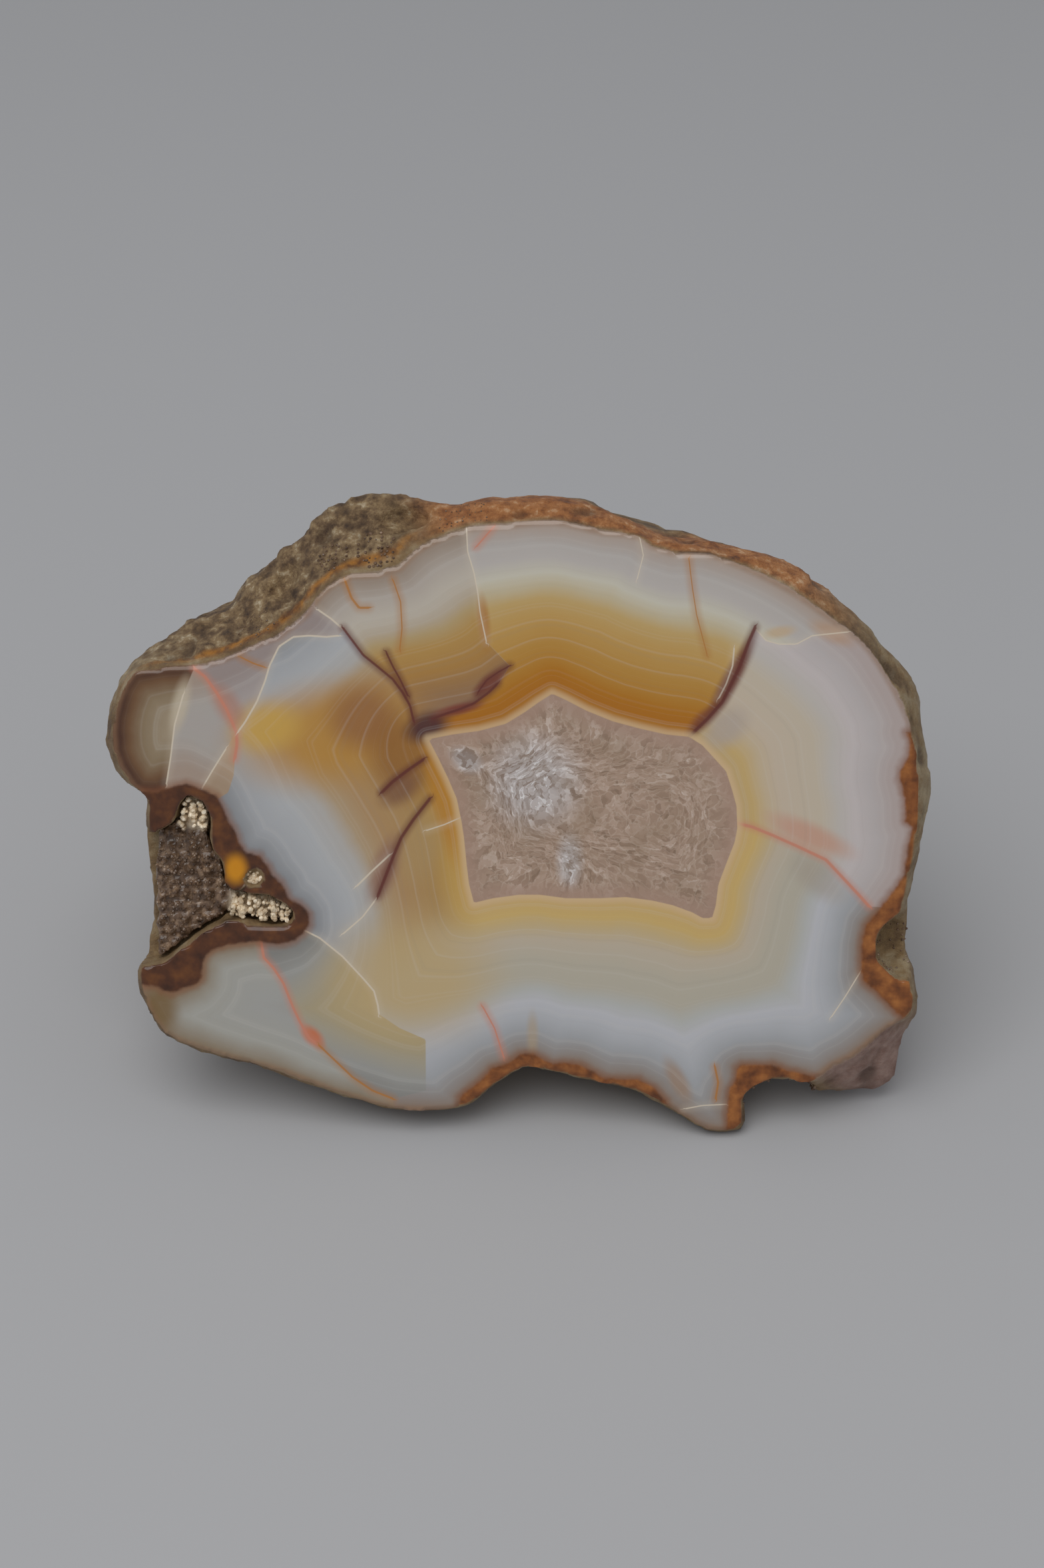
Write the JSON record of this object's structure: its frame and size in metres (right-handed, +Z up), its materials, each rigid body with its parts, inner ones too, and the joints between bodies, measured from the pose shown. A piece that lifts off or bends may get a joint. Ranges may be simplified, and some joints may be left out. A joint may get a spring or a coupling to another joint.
{
  "type": "agate nodule",
  "caption": "Small agate nodule, sawn and polished on one side: banded chalcedony round a quartz core.",
  "frame": {"origin": "on the resting surface, under the middle of the stone's width and length", "axes": "+Z up, +X to the right along the stone's length, the polished face looks to -Y and leans back 24 degrees"},
  "size_m": [0.069, 0.0462, 0.0486],
  "materials": {
    "agate_nodule": "polished on the face, rough behind",
    "hollow_crystals": "sparkling crystal faces"
  },
  "bodies": {
    "root": {"agate_nodule": "agate_nodule", "hollow_crystals": "hollow_crystals"}
  },
  "joints": []
}
